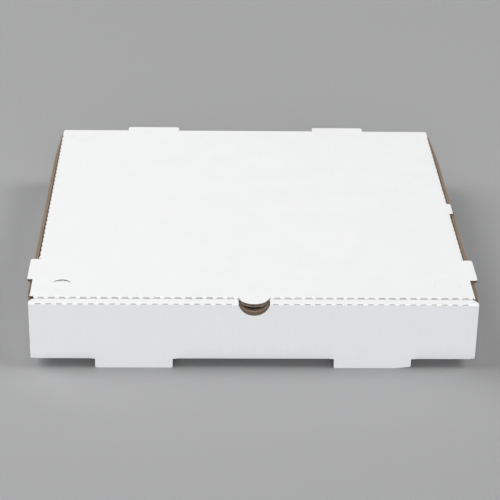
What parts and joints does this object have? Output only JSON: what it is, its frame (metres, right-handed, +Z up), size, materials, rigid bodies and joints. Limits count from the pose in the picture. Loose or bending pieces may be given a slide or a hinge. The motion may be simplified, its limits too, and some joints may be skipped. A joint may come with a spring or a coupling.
{
  "type": "pizza box",
  "caption": "Shallow square corrugated take-away box with a rolled-over front wall, short feet, a thumb notch and a lid that swings on its back crease.",
  "frame": {"origin": "on the table, under the middle of the box's bounding box with its ears and back tabs", "axes": "+Z up; the front wall with the thumb notch faces -Y, and the lid hinges along the back; +X is right, seen from the front"},
  "size_m": [0.424, 0.4224, 0.0671],
  "materials": {
    "white_board": "matte"
  },
  "bodies": {
    "tray": {"tray": "white_board"},
    "lid": {"lid": "white_board"}
  },
  "joints": [
    {"name": "lid_hinge", "type": "hinge", "parent": "tray", "child": "lid", "pos_m": [0, 0.2018, 0.0671], "axis": [-1, 0, 0], "range_deg": [0, 180]}
  ]
}
